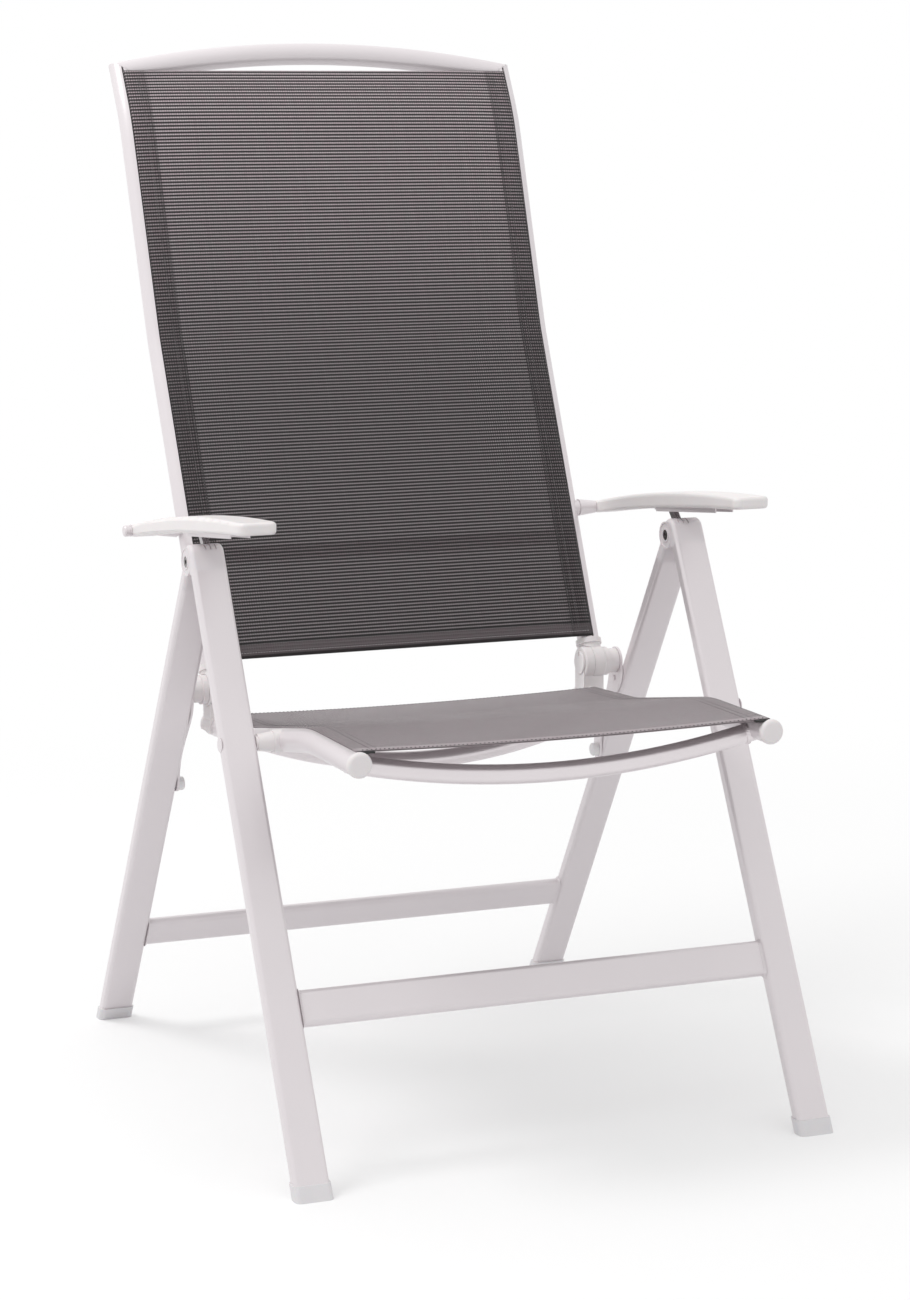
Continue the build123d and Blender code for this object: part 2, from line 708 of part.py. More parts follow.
def back_fabric():
    path = back_path(side(0), back_cloth_low_z, back_cloth_top_z, 0)
    start = Plane(origin=path @ 0, x_dir=(1, 0, 0), z_dir=path % 0)
    middle = tube_r + cloth_gap + cloth_thick / 2
    sheet = sweep(start * Pos(0, -middle) * Rectangle(3 * back_x, cloth_thick), path=path)
    low_x = back_x + (back_cloth_low_z - 2 * tube_r - hinge_z) * splay
    high_x = back_x + (back_cloth_top_z + 2 * tube_r - hinge_z) * splay
    reach = tube_r * sin(radians(groove_tilt_deg)) + tab_thick / 2
    low_z = back_cloth_low_z - 2 * tube_r
    high_z = back_cloth_top_z + 2 * tube_r
    trim = make_face(Polyline((-low_x - reach, low_z), (low_x + reach, low_z), (high_x + reach, high_z),
                              (-high_x - reach, high_z), (-low_x - reach, low_z)))
    block = extrude(Plane.XZ * trim, -2 * back_cloth_top_z)
    sheet = sheet & block
    tab = cloth_edge(tab_section)
    return sheet + tab + mirrored(tab)


def cloth_edge(section):
    path = back_path(splay_plane, back_cloth_low_z, back_cloth_top_z, hinge_z)
    return sweep(section(path_start(path, splay_plane.z_dir)), path=path)


def back_keder_cords():
    cord = cloth_edge(cord_section)
    return [cord, mirrored(cord)]


# Recliner hinge between the back tube and the seat tube
def round_rim(disc, x, amount):
    face = disc.faces().sort_by(lambda f: abs(f.center().X - x))[0]
    return chamfer(face.edges(), amount)


def hinge_upper():
    disc = side_disc(disc_mid_x + side_gap, disc_out_x, hinge_y, hinge_z, disc_r)
    disc = round_rim(disc, disc_out_x, disc_edge)
    points = back_points(hinge_z, back_low_z)
    path = splay_plane * Line((points[0][0], 0), (points[1][0], back_low_z - hinge_z))
    start = path_start(path, splay_plane.z_dir)
    run = back_tube_start + collar_length
    neck = extrude(start * Circle(neck_r), run)
    collar = extrude(start.offset(back_tube_start - collar_bead) * Circle(collar_r), collar_length)
    body = disc + neck + collar
    body = body - side_disc(disc_mid_x - 2 * disc_r, disc_mid_x + side_gap, hinge_y, hinge_z,
                            disc_r + round_gap)
    body = body - side_disc(disc_out_x, disc_out_x + disc_r, hinge_y, hinge_z, step_r + round_gap)
    body = body - extrude(start.offset(back_tube_start) * Circle(tube_r), 2 * run)
    return body - side_disc(disc_in_x, disc_out_x, hinge_y, hinge_z, axle_r + pin_gap)


def hinge_lower():
    disc = side_disc(disc_in_x, disc_mid_x, hinge_y, hinge_z, disc_r)
    disc = round_rim(disc, disc_in_x, disc_edge)
    width = 2 * (seat_x - disc_in_x + disc_edge)
    z_low = seat_rear_z - saddle_drop
    centre_y = hinge_y + (saddle_y0 + saddle_y1 - 2 * hinge_y) * 0.25
    neck = Pos(seat_x, centre_y, (hinge_z + z_low) / 2) * Box(width, neck_depth, hinge_z - z_low)
    neck = neck - side_disc(disc_mid_x, disc_out_x + disc_r, hinge_y, hinge_z, disc_r + round_gap)
    neck = neck - side_disc(disc_in_x - disc_r, disc_in_x, hinge_y, hinge_z, cap_r + round_gap)
    start, run = seat_end_plane(saddle_y0)
    saddle = extrude(start * Circle(saddle_r), saddle_y1 - saddle_y0)
    saddle = above(saddle, z_low)
    body = disc + neck + saddle
    body = body - extrude(start.offset(-neck_depth) * Circle(tube_r), 3 * neck_depth)
    return body - side_disc(disc_in_x, disc_out_x, hinge_y, hinge_z, axle_r + pin_gap)


def seat_end_plane(y):
    slope = (seat_rear_z - seat_low_z) / (seat_rear_y - seat_low_y)
    z = seat_rear_z + (y - seat_rear_y) * slope
    run = hypot(1, slope)
    return Plane(origin=(seat_x, y, z), x_dir=(1, 0, 0), z_dir=(0, 1 / run, slope / run)), run


def hinge_axle():
    pin_end = link_in_x + link_thick - pin_gap
    body = side_disc(disc_in_x - cap_thick, pin_end, hinge_y, hinge_z, axle_r)
    cap = side_disc(disc_in_x - cap_thick - side_gap, disc_in_x - side_gap, hinge_y, hinge_z, cap_r)
    cap = round_rim(cap, disc_in_x - cap_thick - side_gap, disc_edge * 0.6)
    notch = extrude(side(disc_in_x - cap_thick - side_gap) * Pos(hinge_y, hinge_z + cap_r * 0.75)
                    * Rectangle(notch_width, cap_r * 0.4), cap_thick * 0.4)
    step = side_disc(disc_out_x + side_gap, step_end_x, hinge_y, hinge_z, step_r)
    spacer = side_disc(step_end_x, spacer_end_x, hinge_y, hinge_z, spacer_r)
    return body + (cap - notch) + step + spacer


# Folding link from the recliner hinge to the rear leg
def link_plate():
    h = (hinge_y, hinge_z)
    front = Spline((h[0] - link_top_r, h[1] - link_top_r * 0.2), (h[0] - link_top_r, h[1] - link_top_r * 1.1),
                   (h[0] - link_top_r * 0.28, h[1] - link_top_r * 2.3),
                   (link_foot_y - link_low_r * 2.6, link_foot_z + link_low_r * 4.6),
                   (link_foot_y - link_low_r, link_foot_z))
    rear = Spline((link_foot_y + link_low_r, link_foot_z), (link_foot_y - link_low_r * 0.4,
                                                            link_foot_z + link_low_r * 4.6),
                  (h[0] + link_top_r * 1.45, h[1] - link_top_r * 2.3),
                  (h[0] + link_top_r * 1.08, h[1] - link_top_r * 1.1),
                  (h[0] + link_top_r, h[1] - link_top_r * 0.2))
    outline = make_face([front, Line(front @ 1, rear @ 0), rear, Line(rear @ 1, front @ 0)])
    shape = outline + Pos(*h) * Circle(link_top_r) + Pos(link_foot_y, link_foot_z) * Circle(link_low_r)
    plate = extrude(side(link_in_x) * shape, link_thick)
    plate = plate - side_disc(link_in_x, leg_in_x, hinge_y, hinge_z, axle_r + pin_gap)
    plate = plate - side_disc(link_in_x, leg_in_x, link_foot_y, link_foot_z, link_pin_r)
    rivet = side_disc(link_in_x - rivet_thick, link_in_x, rivet_y, rivet_z, rivet_r)
    return plate + fillet(rivet.faces().sort_by(Axis.X)[0].edges(), rivet_thick * 0.7)


def link_pin():
    cap = side_disc(link_in_x - link_cap_thick, link_in_x, link_foot_y, link_foot_z, link_cap_r)
    cap = fillet(cap.faces().sort_by(Axis.X)[0].edges(), link_cap_r * 0.25)
    return cap + side_disc(link_in_x, leg_in_x - side_gap, link_foot_y, link_foot_z, link_pin_r)


# Seat frame
def seat_path(y0, y1):
    points = [(seat_front_y, seat_front_z), (seat_bend_y, seat_front_z), (seat_low_y, seat_low_z),
              (seat_rear_y, seat_rear_z)]
    slope = (seat_rear_z - seat_low_z) / (seat_rear_y - seat_low_y)
    points[0] = (y0, seat_front_z)
    points[3] = (y1, seat_low_z + (y1 - seat_low_y) * slope)
    return points


def seat_line(x, y0, y1):
    return side(x) * FilletPolyline(*seat_path(y0, y1), radius=seat_bend_r)


def seat_z(y):
    if y < seat_bend_y:
        return seat_front_z
    if y < seat_low_y:
        return seat_front_z + (seat_low_z - seat_front_z) * (y - seat_bend_y) / (seat_low_y - seat_bend_y)
    return seat_low_z + (seat_rear_z - seat_low_z) * (y - seat_low_y) / (seat_rear_y - seat_low_y)


def seat_tube():
    path = seat_line(seat_x, seat_front_y, seat_rear_y)
    start = path_start(path, (1, 0, 0))
    return sweep(tube_section(start), path=path)


def seat_front_cap():
    cap = side_view_disc(seat_front_y - front_cap_length, seat_front_y, seat_front_z, front_cap_r)
    cap = fillet(cap.faces().sort_by(Axis.Y)[0].edges(), front_cap_length * 0.75)
    plug = side_view_disc(seat_front_y, seat_front_y + front_cap_length, seat_front_z, groove_shell_r)
    plug = Pos(0, 0, -tube_r * 0.4) * plug
    return cap + plug


def side_view_disc(y0, y1, z, r):
    # Round bar running front to back on the seat tube's line
    plane = Plane(origin=(seat_x, y0, z), x_dir=(1, 0, 0), z_dir=(0, 1, 0))
    return extrude(plane * Circle(r), y1 - y0)


def seat_rear_cap():
    plane, run = seat_end_plane(seat_rear_y)
    cap = extrude(plane * Circle(tube_r), rear_cap_length)
    cap = fillet(cap.faces().sort_by(Axis.Y)[-1].edges(), rear_cap_length * 0.85)
    plug = extrude(plane * Pos(0, tube_r * 0.4) * Circle(groove_shell_r), -rear_cap_length)
    return cap + plug


def cross_arc(y, end_z, mid_z, r, wall):
    # A bowed cross tube between the seat tubes, coped to them and welded
    arc = ThreePointArc((-seat_x, end_z), (0, mid_z), (seat_x, end_z))
    face = Plane(origin=(0, y, 0), x_dir=(1, 0, 0), z_dir=(0, -1, 0))
    path = face * arc
    start = Plane(origin=path @ 0, x_dir=(0, 1, 0), z_dir=path % 0)
    bead = extrude(start.offset(tube_r * 0.9) * Circle(r + weld_r), weld_r * 2.2, taper=15)
    low, high = seat_z(y - tube_r), seat_z(y + tube_r)
    across = Plane(origin=(seat_x, y - 2 * tube_r, low - (high - low) / 2), x_dir=(1, 0, 0),
                   z_dir=(0, 2 * tube_r, high - low))
    core = extrude(across * Circle(tube_r), 4 * tube_r)
    tube = sweep(start * Circle(r), path=path) + bead + mirrored(bead)
    tube = tube - sweep(start * Circle(r - wall), path=path)
    return tube - core - mirrored(core)


def seat_fabric():
    path = side(0) * FilletPolyline(*seat_path(seat_cloth_front_y, seat_cloth_rear_y), radius=seat_bend_r)
    start = Plane(origin=path @ 0, x_dir=(1, 0, 0), z_dir=path % 0)
    middle = tube_r + cloth_gap + cloth_thick / 2
    reach = tube_r * sin(radians(groove_tilt_deg)) + tab_thick / 2
    sheet = sweep(start * Pos(0, -middle) * Rectangle(2 * (seat_x + reach), cloth_thick), path=path)
    tab = seat_edge(tab_section)
    return sheet + tab + mirrored(tab)


def seat_edge(section):
    path = seat_line(seat_x, seat_cloth_front_y, seat_cloth_rear_y)
    return sweep(section(path_start(path, (1, 0, 0))), path=path)


def seat_keder_cords():
    cord = seat_edge(cord_section)
    return [cord, mirrored(cord)]


def seat_bush():
    y, z = seat_pivot_y, seat_pivot_z
    x1 = leg_in_x - side_gap
    ring = side_disc(seat_x, seat_x + tube_r + bush_ring, y, z, bush_ring_r)
    cone = loft([side(seat_x + tube_r + bush_ring) * Pos(y, z) * Circle(bush_tube_r),
                 side(x1 - bush_ring / 2) * Pos(y, z) * Circle(bush_leg_r)])
    tip = side_disc(x1 - bush_ring / 2, x1, y, z, bush_leg_r - weld_r)
    body = ring + cone + tip
    path = seat_line(seat_x, seat_front_y, seat_rear_y)
    body = body - sweep(path_start(path, (1, 0, 0)) * Circle(tube_r), path=path)
    return body - side_disc(seat_x, leg_in_x, y, z, bush_bolt_r + pin_gap)


def build_all():
    add_pair("front_leg", leg_tube(front_plane, head_start, seat_pivot_y, seat_pivot_z,
                                   bush_bolt_r + pin_gap))
    nodes["front_crossbar"] = crossbar(front_plane, front_bar_z)
    add_pair("front_foot", foot(front_plane, head_start))
    add_pair("leg_head", leg_head())
    bolt = leg_pivot_bolt()
    nodes["leg_pivot_bolts"] = [bolt, mirrored(bolt)]
    bolt = seat_pivot_bolt()
    nodes["seat_pivot_bolts"] = [bolt, mirrored(bolt)]
    add_pair("rear_leg", leg_tube(rear_plane, fork_start, 0, 0, 0))
    nodes["rear_crossbar"] = crossbar(rear_plane, rear_bar_z)
    add_pair("rear_foot", foot(rear_plane, fork_start))
    add_pair("rear_knuckle", rear_knuckle())
    add_pair("latch_strap", latch_strap())
    add_pair("latch_pin", latch_pin())
    add_pair("armrest", armrest())
    add_pair("latch_rail", latch_rail())
    add_pair("rail_screw", rail_screw())
    add_pair("arm_sleeve", arm_sleeve())
    add_pair("armrest_bolt", armrest_bolt())
    add_pair("back_tube", back_tube())
    nodes["back_top_rail"] = back_top_rail()
    nodes["back_cross_tube"] = back_cross_tube()
    nodes["back_fabric"] = back_fabric()
    nodes["back_keder_cords"] = back_keder_cords()
    add_pair("hinge_upper", hinge_upper())
    add_pair("hinge_lower", hinge_lower())
    add_pair("hinge_axle", hinge_axle())
    add_pair("link_plate", link_plate())
    add_pair("link_pin", link_pin())
    add_pair("seat_tube", seat_tube())
    nodes["seat_front_cross"] = cross_arc(front_cross_y, front_cross_end_z, front_cross_mid_z,
                                          front_cross_r, cross_wall)
    nodes["seat_rear_cross"] = cross_arc(rear_cross_y, rear_cross_z + rear_cross_sag, rear_cross_z,
                                         rear_cross_r, cross_wall)
    add_pair("seat_front_cap", seat_front_cap())
    add_pair("seat_rear_cap", seat_rear_cap())
    nodes["seat_fabric"] = seat_fabric()
    nodes["seat_keder_cords"] = seat_keder_cords()
    add_pair("seat_bush", seat_bush())


def export_all():
    os.makedirs("parts", exist_ok=True)
    whole = {}
    for name, shape in nodes.items():
        solids = []
        for piece in (shape if isinstance(shape, list) else [shape]):
            solids += list(piece.solids())
        whole[name] = solids
    boxes = [s.bounding_box() for solids in whole.values() for s in solids]
    y_mid = (min(b.min.Y for b in boxes) + max(b.max.Y for b in boxes)) / 2
    x_mid = (min(b.min.X for b in boxes) + max(b.max.X for b in boxes)) / 2
    shift = Pos(-x_mid, -y_mid, -min(b.min.Z for b in boxes))
    for name, solids in whole.items():
        moved = [shift * s for s in solids]
        shape = moved[0] if len(moved) == 1 else Compound(children=moved)
        shape.label = name
        export_step(shape, "parts/" + name + ".step")
    print("pieces", len(whole), "y shift", round(-y_mid, 4))
    print("pivot", pivot_y - y_mid, pivot_z, "seat", seat_pivot_y - y_mid, seat_pivot_z)
    print("hinge", hinge_y - y_mid, hinge_z, "arm", arm_pivot_y - y_mid, arm_pivot_z)
    print("catch", catch_y - y_mid, catch_z, "link foot", link_foot_y - y_mid, link_foot_z)
    print("size", [round(max(getattr(b.max, k) for b in boxes) - min(getattr(b.min, k) for b in boxes), 2)
                   for k in "XYZ"])


build_all()
export_all()
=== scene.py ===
import math

import bmesh
import bpy
from mathutils import Euler, Matrix, Vector


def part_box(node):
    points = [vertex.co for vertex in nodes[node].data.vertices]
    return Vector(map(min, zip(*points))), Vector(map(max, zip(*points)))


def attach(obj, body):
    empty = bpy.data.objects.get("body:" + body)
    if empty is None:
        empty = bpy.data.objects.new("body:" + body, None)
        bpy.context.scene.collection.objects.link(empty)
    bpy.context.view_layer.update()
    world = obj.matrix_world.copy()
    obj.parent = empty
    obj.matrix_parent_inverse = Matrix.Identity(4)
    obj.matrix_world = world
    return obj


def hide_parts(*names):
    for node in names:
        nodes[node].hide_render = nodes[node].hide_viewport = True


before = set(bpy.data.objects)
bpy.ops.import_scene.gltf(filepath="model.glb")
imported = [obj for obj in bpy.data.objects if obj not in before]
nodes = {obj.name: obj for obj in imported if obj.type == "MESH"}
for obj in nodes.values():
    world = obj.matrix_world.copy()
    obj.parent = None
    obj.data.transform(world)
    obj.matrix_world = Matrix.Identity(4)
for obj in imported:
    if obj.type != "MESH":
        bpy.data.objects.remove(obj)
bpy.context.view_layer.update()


# ---- Leg frames -------------------------------------------------------------
# Four flat-oval aluminium tubes and two crossbars between them, welded and then
# coated together with a fine satin powder. The beads at the bars' ends show
# through the coat as small ripples.

class Shade:
    """One socket of a finish. Sums written with it become Math nodes."""

    def __init__(self, tree, socket=None):
        self.tree = tree
        self.socket = socket

    def node(self, kind, settings=None, inputs=None, output=0):
        made = self.tree.nodes.new(kind)
        for name, value in (settings or {}).items():
            if name == "stops":
                stops = made.color_ramp.elements
                while len(stops) < len(value):
                    stops.new(1.0)
                for stop, (place, colour) in zip(stops, value):
                    stop.position = place
                    stop.color = colour
            else:
                setattr(made, name, value)
        for name, value in (inputs or {}).items():
            if isinstance(value, Shade):
                self.tree.links.new(value.socket, made.inputs[name])
            else:
                made.inputs[name].default_value = value
        return Shade(self.tree, made.outputs[output] if made.outputs else None)

    def maths(self, operation, *terms):
        """A Math node on this socket and the other terms, in that order."""
        return self.node("ShaderNodeMath", {"operation": operation}, dict(enumerate((self, *terms))))

    def __add__(self, other):
        return self.maths("ADD", other)

    def __mul__(self, other):
        return self.maths("MULTIPLY", other)

    def __sub__(self, other):
        return self.maths("SUBTRACT", other)

    def __rsub__(self, other):
        return self * -1 + other

    def __abs__(self):
        return self.maths("ABSOLUTE")

    __radd__ = __add__
    __rmul__ = __mul__

    def step(self, low, high):
        """0 below low, 1 above high, and soft between."""
        return self.node("ShaderNodeMapRange", {"interpolation_type": "SMOOTHSTEP"},
                         {"Value": self, "From Min": low, "From Max": high}, "Result")

    def mix(self, first, second):
        """Goes from one colour to another as this socket goes from 0 to 1."""
        return self.node("ShaderNodeMix", {"data_type": "RGBA"}, {0: self, 6: first, 7: second}, 2)


def new_finish(name, constants):
    """A material, its shader's sockets set to constants, and a Shade to write its nodes with."""
    material = bpy.data.materials.new(name)
    material.use_nodes = True
    tree = material.node_tree
    shader = tree.nodes["Principled BSDF"]
    for socket, value in constants.items():
        shader.inputs[socket].default_value = value
    return material, Shade(tree), shader


def feed(shade, shader, links):
    """Connects Shades to a shader's sockets by name."""
    for socket, value in links.items():
        shade.tree.links.new(value.socket, shader.inputs[socket])


def noise(shade, where, scale, detail=2.0):
    return shade.node("ShaderNodeTexNoise", {}, {"Vector": where, "Scale": scale, "Detail": detail}, "Fac")


def bump(shade, height, depth, strength=1.0):
    return shade.node("ShaderNodeBump", {}, {"Height": height, "Distance": depth, "Strength": strength})


def powder_coat(name, bead_x=None, pearl=0.25):
    """Satin white powder on aluminium; bead_x is where a weld runs round the tube's end.

    Pearl is the share of bright flakes in the powder, which makes it mirror a little.
    """
    material, shade, shader = new_finish(name, {"Metallic": pearl, "Specular IOR Level": 0.5})
    place = shade.node("ShaderNodeTexCoord", output="Object")
    cloud = noise(shade, place, 9.0)
    grain = noise(shade, place, 1500.0, 3.0)
    peel = noise(shade, place, 320.0)
    tone = cloud * 0.55 + grain * 0.45
    colour = tone.mix((0.745, 0.697, 0.713, 1), (0.825, 0.776, 0.792, 1))
    height = grain * 0.35 + peel * 0.65
    if bead_x is not None:
        x = abs(shade.node("ShaderNodeSeparateXYZ", inputs={0: place}, output=0))
        bead = x.step(bead_x - 0.007, bead_x - 0.003)
        ripple = shade.node("ShaderNodeTexWave", {"wave_type": "BANDS", "bands_direction": "DIAGONAL"},
                            {"Vector": place, "Scale": 190.0, "Distortion": 2.0}, "Fac")
        height = height + ripple * bead * 2.0
    feed(shade, shader, {
        "Base Color": colour,
        "Roughness": 0.24 + grain * 0.08 + cloud * 0.06,
        "Normal": bump(shade, height, 0.00006),
    })
    return material


def put(material, *names):
    """Gives CAD nodes this material; a name ending in _ is the pair of them."""
    for name in names:
        for whole in ([name + "left", name + "right"] if name.endswith("_") else [name]):
            for slot in nodes[whole].material_slots:
                slot.material = material


tube_coat = powder_coat("powder_coat")
bar_coat = powder_coat("powder_coat_welded", bead_x=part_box("front_leg_left")[0][0])
put(tube_coat, "front_leg_", "rear_leg_")
put(bar_coat, "front_crossbar", "rear_crossbar")


# ---- Leg heads, knuckles and feet -------------------------------------------
# Moulded nylon pressed into the tubes' ends: a barrel head on each front leg, a
# forked knuckle on each rear leg, and a foot cap under every leg. Whiter than
# the powder, with the fine spark grain of the mould.

def moulded(name, dark, light, rough, grain_size=0.0006):
    material, shade, shader = new_finish(name, {"Subsurface Weight": 0.04, "Subsurface Scale": 0.002})
    place = shade.node("ShaderNodeTexCoord", output="Object")
    flow = noise(shade, place, 26.0)
    grain = noise(shade, place, 1 / grain_size, 1.0)
    feed(shade, shader, {
        "Base Color": (flow * 0.7 + grain * 0.3).mix(dark, light),
        "Roughness": rough + flow * 0.10 + grain * 0.08,
        "Normal": bump(shade, grain + flow * 0.8, 0.00005),
    })
    return material


white_nylon = moulded("moulded_white_nylon", (0.79, 0.75, 0.752, 1), (0.865, 0.828, 0.828, 1), 0.38)
head_nylon = moulded("moulded_head_nylon", (0.735, 0.69, 0.705, 1), (0.82, 0.775, 0.79, 1), 0.34)
put(head_nylon, "leg_head_", "rear_knuckle_")

foot_nylon = moulded("moulded_foot_nylon", (0.72, 0.70, 0.715, 1), (0.84, 0.825, 0.835, 1), 0.46)
put(foot_nylon, "front_foot_", "rear_foot_")


# ---- Pivot bolts and armrest latch ------------------------------------------
# Zinc-plated steel: the cross bolts of the leg heads, and on each side a strap of stacked
# plates whose pin catches the armrest's teeth. The seat's cross bolts get the tubes' white powder coat.

def plated(name, dark, light, rough, stretch=(1, 1, 1)):
    """Bare or plated steel; stretch draws the brushing out along one axis."""
    material, shade, shader = new_finish(name, {"Metallic": 1.0})
    place = shade.node("ShaderNodeTexCoord", output="Object")
    drawn = shade.node("ShaderNodeMapping", {"vector_type": "POINT"}, {"Vector": place, "Scale": stretch})
    brush = noise(shade, drawn, 900.0, 3.0)
    cloud = noise(shade, place, 60.0)
    feed(shade, shader, {
        "Base Color": (brush * 0.5 + cloud * 0.5).mix(dark, light),
        "Roughness": rough + brush * 0.16 + cloud * 0.08,
        "Normal": bump(shade, brush, 0.00003),
    })
    return material


strap_zinc = plated("zinc_strap", (0.42, 0.40, 0.41, 1), (0.62, 0.60, 0.61, 1), 0.30, stretch=(1, 1, 0.08))
put(strap_zinc, "latch_strap_")
bolt_zinc = plated("zinc_bolt", (0.20, 0.19, 0.19, 1), (0.38, 0.36, 0.36, 1), 0.26)
put(bolt_zinc, "latch_pin_", "leg_pivot_bolts")
put(tube_coat, "seat_pivot_bolts")


# ---- Armrests ---------------------------------------------------------------
# A long moulded arm on each side, gently arched and wider at the front, with a
# toothed metal rail screwed into its underside. At the rear a tapered sleeve
# and a headed bolt carry it on the back tube.

arm_nylon = moulded("moulded_arm_nylon", (0.82, 0.782, 0.778, 1), (0.885, 0.85, 0.845, 1), 0.34, 0.0008)
put(arm_nylon, "armrest_")
rail_zinc = plated("zinc_rail", (0.60, 0.58, 0.59, 1), (0.78, 0.75, 0.76, 1), 0.34, stretch=(1, 0.08, 1))
put(rail_zinc, "rail_screw_")
put(powder_coat("powder_coat_sleeve"), "latch_rail_", "arm_sleeve_", "armrest_bolt_")


# ---- Back frame -------------------------------------------------------------
# Two bent round tubes with a groove along the front, an arched round top rail
# mitred to them and a thin cross tube low behind the cloth, all welded and
# coated like the legs. The photograph's rail shows no groove, so a plain one
# stands in for the solid.

def shift_y():
    """How far the chair's own measure from the front feet lies from the frame's."""
    return -0.390666


def smooth(mesh):
    for face in mesh.faces:
        face.smooth = True


def finish_piece(name, mesh, material, body, thick=None):
    """Turns a mesh into a piece of that material which rides on a body."""
    data = bpy.data.meshes.new(name)
    mesh.to_mesh(data)
    mesh.free()
    piece = bpy.data.objects.new(name, data)
    bpy.context.scene.collection.objects.link(piece)
    piece.data.materials.append(material)
    if thick is not None:
        shell = piece.modifiers.new("thickness", "SOLIDIFY")
        shell.thickness = thick
        shell.offset = 0.0
    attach(piece, body)
    return piece


rail_corner = Vector((0.234, 0.75715 + shift_y(), 1.097))
rail_up = Vector((0, 0.6, 1)).normalized()
rail_front = Vector((0, -rail_up.z, rail_up.y))
rail_rise = 0.026
rail_r = 0.0125
rail_spare = 0.03
rail_steps = 120
rail_sides = 48
tube_splay = 0.012
arc_r = (rail_corner.x ** 2 + rail_rise ** 2) / (2 * rail_rise)
arc_centre = Vector((0, rail_corner.y, rail_corner.z)) + rail_up * (rail_rise - arc_r)
arc_dip = math.asin(rail_corner.x / arc_r)
arc_reach = arc_dip + rail_spare / arc_r
mesh = bmesh.new()
rings = []
turns = [2 * math.pi * k / rail_sides for k in range(rail_sides)]
for i in range(rail_steps + 1):
    swing = arc_reach * (2 * i / rail_steps - 1)
    outward = Vector((math.sin(swing), 0, 0)) + rail_up * math.cos(swing)
    rings.append([mesh.verts.new(arc_centre + outward * (arc_r + rail_r * math.cos(turn))
                                 + rail_front * rail_r * math.sin(turn)) for turn in turns])
for ring, after in zip(rings, rings[1:]):
    for k in range(rail_sides):
        mesh.faces.new((ring[k - 1], ring[k], after[k], after[k - 1])).smooth = True
# Cut along the planes where the rail meets the side tubes, and closed there
for side in (-1, 1):
    inward = Vector((-side * math.cos(arc_dip), 0, 0)) + rail_up * math.sin(arc_dip)
    tube_way = (Vector((-side * math.sin(tube_splay), 0, 0)) + rail_up).normalized()
    geometry = mesh.verts[:] + mesh.edges[:] + mesh.faces[:]
    cut = bmesh.ops.bisect_plane(mesh, geom=geometry, plane_co=Vector((side, 1, 1)) * rail_corner,
                                 plane_no=inward + tube_way, clear_inner=True)
    edges = [item for item in cut["geom_cut"] if isinstance(item, bmesh.types.BMEdge)]
    bmesh.ops.edgeloop_fill(mesh, edges=edges)
bmesh.ops.recalc_face_normals(mesh, faces=mesh.faces)
top_rail = finish_piece("back_top_rail_plain", mesh, tube_coat, "back")
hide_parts("back_top_rail")

put(tube_coat, "back_tube_")
back_cross_coat = powder_coat("powder_coat_back_cross", bead_x=0.2155)
put(back_cross_coat, "back_cross_tube")


# ---- Recliner hinges --------------------------------------------------------
# Between the back and the seat on each side: an upper and a lower disc moulded
# with collars for the tubes, on an axle with a cap inside and a spacer outside.

put(white_nylon, "hinge_upper_", "hinge_lower_", "hinge_axle_")


# ---- Folding links ----------------------------------------------------------
# A curved pressed plate from the hinge to the rear leg, coated white, with a
# steel rivet at its top and a capped pin at its foot.

put(powder_coat("powder_coat_link"), "link_plate_")
put(moulded("moulded_pin_cap", (0.80, 0.785, 0.79, 1), (0.89, 0.875, 0.88, 1), 0.42), "link_pin_")


# ---- Seat frame -------------------------------------------------------------
# Two round tubes like those of the back, with end caps, held apart by two tubes
# that bow down under the cloth, one in front and one behind, and hung in the
# front legs on a bush each side.

put(tube_coat, "seat_tube_")
put(powder_coat("powder_coat_seat_cross", bead_x=0.2125, pearl=0.8), "seat_front_cross", "seat_rear_cross")
put(white_nylon, "seat_front_cap_", "seat_rear_cap_", "seat_bush_")


# ---- Sling cords ------------------------------------------------------------
# Black extruded cords, one in the groove of each back and seat tube. The sling's
# sewn edge wraps round them and so can't slip out.

cord_black, shade, shader = new_finish("extruded_cord", {})
place = shade.node("ShaderNodeTexCoord", output="Object")
streak = noise(shade, place, 700.0)
feed(shade, shader, {
    "Base Color": streak.mix((0.006, 0.006, 0.006, 1), (0.02, 0.019, 0.02, 1)),
    "Roughness": 0.42 + streak * 0.2,
    "Normal": bump(shade, streak, 0.00005),
})
put(cord_black, "back_keder_cords", "seat_keder_cords")


# ---- Back sling -------------------------------------------------------------
# Coated polyester mesh, ribbed across, stretched between the two back tubes. Its
# side edges are folded double and run over the tubes into their grooves; the
# lower edge has a stitched hem, and the upper edge is cut plain.

def bent_line(corners, bend, step):
    """Places and directions along a side-view line whose inner corners are rounded."""
    corners = [Vector(corner) for corner in corners]
    places = []
    here = corners[0]
    for before, corner, after in zip(corners, corners[1:], corners[2:]):
        way_in = (corner - before).normalized()
        way_out = (after - corner).normalized()
        turn = way_in.angle_signed(way_out)
        reach = bend * math.tan(abs(turn) / 2)
        start = corner - way_in * reach
        count = max(1, round((start - here).length / step))
        places += [(here.lerp(start, i / count), way_in) for i in range(count)]
        count = max(2, round(bend * abs(turn) / step))
        side = math.copysign(1, turn)
        inward = Vector((way_in.y, -way_in.x)) * side
        centre = start + inward * bend
        for i in range(count):
            swing = Matrix.Rotation(-turn * i / count, 2)
            places.append((centre - swing @ inward * bend, swing @ way_in))
        here = corner + way_out * reach
    count = max(1, round((corners[-1] - here).length / step))
    way_out = (corners[-1] - corners[-2]).normalized()
    places += [(here.lerp(corners[-1], i / count), way_out) for i in range(count + 1)]
    return places


def run_lengths(places):
    """How far along the line each of its places lies."""
    lengths = [0.0]
    for (a, _), (b, _) in zip(places, places[1:]):
        lengths.append(lengths[-1] + (b - a).length)
    return lengths


